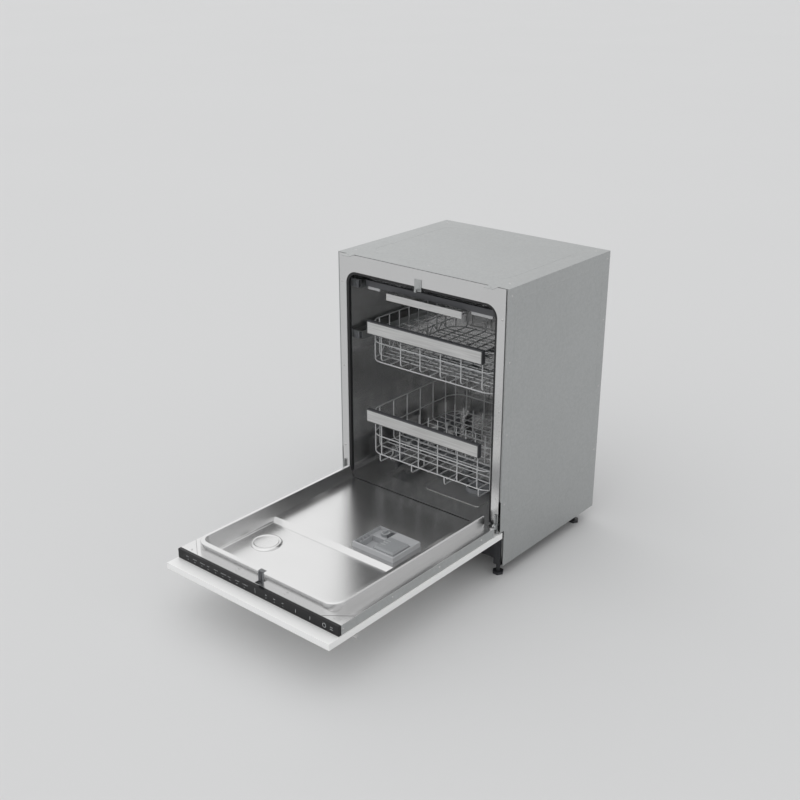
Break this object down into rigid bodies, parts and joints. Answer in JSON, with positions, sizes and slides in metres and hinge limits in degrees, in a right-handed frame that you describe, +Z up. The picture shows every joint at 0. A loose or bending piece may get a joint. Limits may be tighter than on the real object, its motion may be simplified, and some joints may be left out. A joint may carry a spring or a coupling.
{
  "type": "integrated dishwasher",
  "caption": "Built-in dishwasher with a fold-down door for a furniture panel, two wire racks on rollers and rails, and a cutlery tray.",
  "frame": {"origin": "under the middle of the whole part with the door folded down, on the floor", "axes": "+Z up, +Y from the user into the machine, +X to the user's right"},
  "size_m": [0.598, 1.215, 0.865],
  "materials": {
    "tub_steel": "satin",
    "wire_coat": "satin nylon coat",
    "rail_steel": "satin",
    "strip_steel": "brushed along its length",
    "zinc_steel": "galvanised",
    "dark_plastic": "fine moulded grain",
    "grey_plastic": "fine moulded grain",
    "light_plastic": "fine moulded grain",
    "strip_plastic": "polished",
    "board": "white lacquer",
    "felt": "pressed felt",
    "seal_rubber": "matt"
  },
  "bodies": {
    "cabinet": {"tub": "tub_steel", "tub_floor": "tub_steel", "tub_gasket": "seal_rubber", "insulation_jacket": "felt", "side_panels": "zinc_steel", "top_plate": "zinc_steel", "base_frame": "dark_plastic", "levelling_feet": "dark_plastic", "tub_rails": "rail_steel", "sump": "dark_plastic", "pumps": "dark_plastic", "inlet_valve": "light_plastic", "filter_plate": "tub_steel", "lower_arm_post": "grey_plastic", "feed_pipe": "grey_plastic", "hinge_brackets": "zinc_steel", "door_springs": "zinc_steel", "latch_strike": "zinc_steel"},
    "door": {"door_liner": "tub_steel", "door_frame": "zinc_steel", "control_strip": "strip_plastic", "front_panel": "board", "panel_handle": "strip_steel", "hinge_arms": "zinc_steel", "dispenser_body": "grey_plastic", "latch_housing": "light_plastic"},
    "dispenser_lid": {"dispenser_lid": "light_plastic"},
    "rinse_aid_cap": {"rinse_aid_cap": "light_plastic"},
    "latch_bolt": {"latch_bolt": "zinc_steel"},
    "lower_rack": {"lower_basket": "wire_coat", "lower_handle": "dark_plastic", "lower_handle_strip": "strip_steel", "wheel_carriers": "grey_plastic"},
    "lower_tines_front": {"lower_tines_front": "wire_coat"},
    "lower_tines_rear": {"lower_tines_rear": "wire_coat"},
    "upper_rack": {"upper_basket": "wire_coat", "upper_handle": "dark_plastic", "upper_handle_strip": "strip_steel", "upper_rail_inners": "rail_steel", "upper_feed_tube": "grey_plastic"},
    "upper_rail": {"upper_rail_middles": "rail_steel"},
    "cup_shelf_left": {"cup_shelf_left": "wire_coat"},
    "cup_shelf_right": {"cup_shelf_right": "wire_coat"},
    "upper_spray_arm": {"upper_spray_arm": "grey_plastic"},
    "tray": {"tray_frame": "dark_plastic", "tray_inserts": "dark_plastic", "tray_handle": "strip_steel"},
    "tray_rail": {"tray_rail_middles": "rail_steel"},
    "lower_spray_arm": {"lower_spray_arm": "grey_plastic"},
    "ceiling_spray_arm": {"ceiling_spray_arm": "grey_plastic"},
    "filter_cylinder": {"filter_cylinder": "grey_plastic"},
    "float": {"float": "light_plastic"},
    "wheel_left_1": {"wheel_left_1": "grey_plastic"},
    "wheel_left_2": {"wheel_left_2": "grey_plastic"},
    "wheel_left_3": {"wheel_left_3": "grey_plastic"},
    "wheel_left_4": {"wheel_left_4": "grey_plastic"},
    "wheel_right_1": {"wheel_right_1": "grey_plastic"},
    "wheel_right_2": {"wheel_right_2": "grey_plastic"},
    "wheel_right_3": {"wheel_right_3": "grey_plastic"},
    "wheel_right_4": {"wheel_right_4": "grey_plastic"}
  },
  "joints": [
    {"name": "door_hinge", "type": "hinge", "parent": "cabinet", "child": "door", "pos_m": [0, 0.0805, 0.174], "axis": [1, 0, 0], "range_deg": [-90, 0], "stiffness_Nm_per_rad": 20, "springref_deg": -90, "deforming": ["door_springs"]},
    {"name": "lower_rack_slide", "type": "slide", "parent": "cabinet", "child": "lower_rack", "axis": [0, -1, 0], "range_m": [0, 0.45]},
    {"name": "upper_rack_slide", "type": "slide", "parent": "cabinet", "child": "upper_rack", "axis": [0, -1, 0], "range_m": [0, 0.4]},
    {"name": "upper_rail_slide", "type": "slide", "parent": "cabinet", "child": "upper_rail", "axis": [0, -1, 0], "range_m": [0, 0.2]},
    {"name": "tray_slide", "type": "slide", "parent": "cabinet", "child": "tray", "axis": [0, -1, 0], "range_m": [0, 0.35]},
    {"name": "tray_rail_slide", "type": "slide", "parent": "cabinet", "child": "tray_rail", "axis": [0, -1, 0], "range_m": [0, 0.175]},
    {"name": "lower_tines_front_fold", "type": "hinge", "parent": "lower_rack", "child": "lower_tines_front", "pos_m": [0, 0.2755, 0.2423], "axis": [1, 0, 0], "range_deg": [0, 90]},
    {"name": "lower_tines_rear_fold", "type": "hinge", "parent": "lower_rack", "child": "lower_tines_rear", "pos_m": [0, 0.4095, 0.2423], "axis": [1, 0, 0], "range_deg": [0, 90]},
    {"name": "cup_shelf_left_fold", "type": "hinge", "parent": "upper_rack", "child": "cup_shelf_left", "pos_m": [-0.2302, 0.3525, 0.6075], "axis": [0, -1, 0], "range_deg": [0, 85]},
    {"name": "cup_shelf_right_fold", "type": "hinge", "parent": "upper_rack", "child": "cup_shelf_right", "pos_m": [0.2302, 0.3525, 0.6075], "axis": [0, 1, 0], "range_deg": [0, 85]},
    {"name": "lower_arm_spin", "type": "hinge", "parent": "cabinet", "child": "lower_spray_arm", "pos_m": [0, 0.3375, 0.19], "axis": [0, 0, 1], "continuous": true},
    {"name": "upper_arm_spin", "type": "hinge", "parent": "upper_rack", "child": "upper_spray_arm", "pos_m": [0, 0.3375, 0.503], "axis": [0, 0, 1], "continuous": true},
    {"name": "ceiling_arm_spin", "type": "hinge", "parent": "cabinet", "child": "ceiling_spray_arm", "pos_m": [0, 0.3375, 0.797], "axis": [0, 0, 1], "continuous": true},
    {"name": "filter_turn", "type": "hinge", "parent": "cabinet", "child": "filter_cylinder", "pos_m": [0.095, 0.2675, 0.16], "axis": [0, 0, 1], "range_deg": [0, 90]},
    {"name": "float_rise", "type": "slide", "parent": "cabinet", "child": "float", "axis": [0, 0, 1], "range_m": [0, 0.012]},
    {"name": "dispenser_lid_slide", "type": "slide", "parent": "door", "child": "dispenser_lid", "axis": [1, 0, 0], "range_m": [-0.063, 0], "stiffness_N_per_m": 20, "springref_m": 0.02},
    {"name": "rinse_aid_cap_turn", "type": "hinge", "parent": "door", "child": "rinse_aid_cap", "pos_m": [0.084, -0.1515, 0.1753], "axis": [0, 0, 1], "range_deg": [0, 90]},
    {"name": "latch_bolt_slide", "type": "slide", "parent": "door", "child": "latch_bolt", "axis": [0, -1, 0], "range_m": [0, 0.004], "stiffness_N_per_m": 200},
    {"name": "wheel_left_1_roll", "type": "hinge", "parent": "lower_rack", "child": "wheel_left_1", "pos_m": [-0.204, 0.2535, 0.1898], "axis": [1, 0, 0], "continuous": true},
    {"name": "wheel_left_2_roll", "type": "hinge", "parent": "lower_rack", "child": "wheel_left_2", "pos_m": [-0.204, 0.3775, 0.1898], "axis": [1, 0, 0], "continuous": true},
    {"name": "wheel_left_3_roll", "type": "hinge", "parent": "lower_rack", "child": "wheel_left_3", "pos_m": [-0.204, 0.4415, 0.1898], "axis": [1, 0, 0], "continuous": true},
    {"name": "wheel_left_4_roll", "type": "hinge", "parent": "lower_rack", "child": "wheel_left_4", "pos_m": [-0.204, 0.5475, 0.1898], "axis": [1, 0, 0], "continuous": true},
    {"name": "wheel_right_1_roll", "type": "hinge", "parent": "lower_rack", "child": "wheel_right_1", "pos_m": [0.204, 0.2535, 0.1898], "axis": [1, 0, 0], "continuous": true},
    {"name": "wheel_right_2_roll", "type": "hinge", "parent": "lower_rack", "child": "wheel_right_2", "pos_m": [0.204, 0.3775, 0.1898], "axis": [1, 0, 0], "continuous": true},
    {"name": "wheel_right_3_roll", "type": "hinge", "parent": "lower_rack", "child": "wheel_right_3", "pos_m": [0.204, 0.4415, 0.1898], "axis": [1, 0, 0], "continuous": true},
    {"name": "wheel_right_4_roll", "type": "hinge", "parent": "lower_rack", "child": "wheel_right_4", "pos_m": [0.204, 0.5475, 0.1898], "axis": [1, 0, 0], "continuous": true}
  ],
  "couplings": [
    {"joint": "upper_rail_slide", "follows": "upper_rack_slide", "ratio": 0.5},
    {"joint": "tray_rail_slide", "follows": "tray_slide", "ratio": 0.5},
    {"joint": "wheel_left_1_roll", "follows": "lower_rack_slide", "rad_per_m": 51.282},
    {"joint": "wheel_left_2_roll", "follows": "lower_rack_slide", "rad_per_m": 51.282},
    {"joint": "wheel_left_3_roll", "follows": "lower_rack_slide", "rad_per_m": 51.282},
    {"joint": "wheel_left_4_roll", "follows": "lower_rack_slide", "rad_per_m": 51.282},
    {"joint": "wheel_right_1_roll", "follows": "lower_rack_slide", "rad_per_m": 51.282},
    {"joint": "wheel_right_2_roll", "follows": "lower_rack_slide", "rad_per_m": 51.282},
    {"joint": "wheel_right_3_roll", "follows": "lower_rack_slide", "rad_per_m": 51.282},
    {"joint": "wheel_right_4_roll", "follows": "lower_rack_slide", "rad_per_m": 51.282}
  ]
}
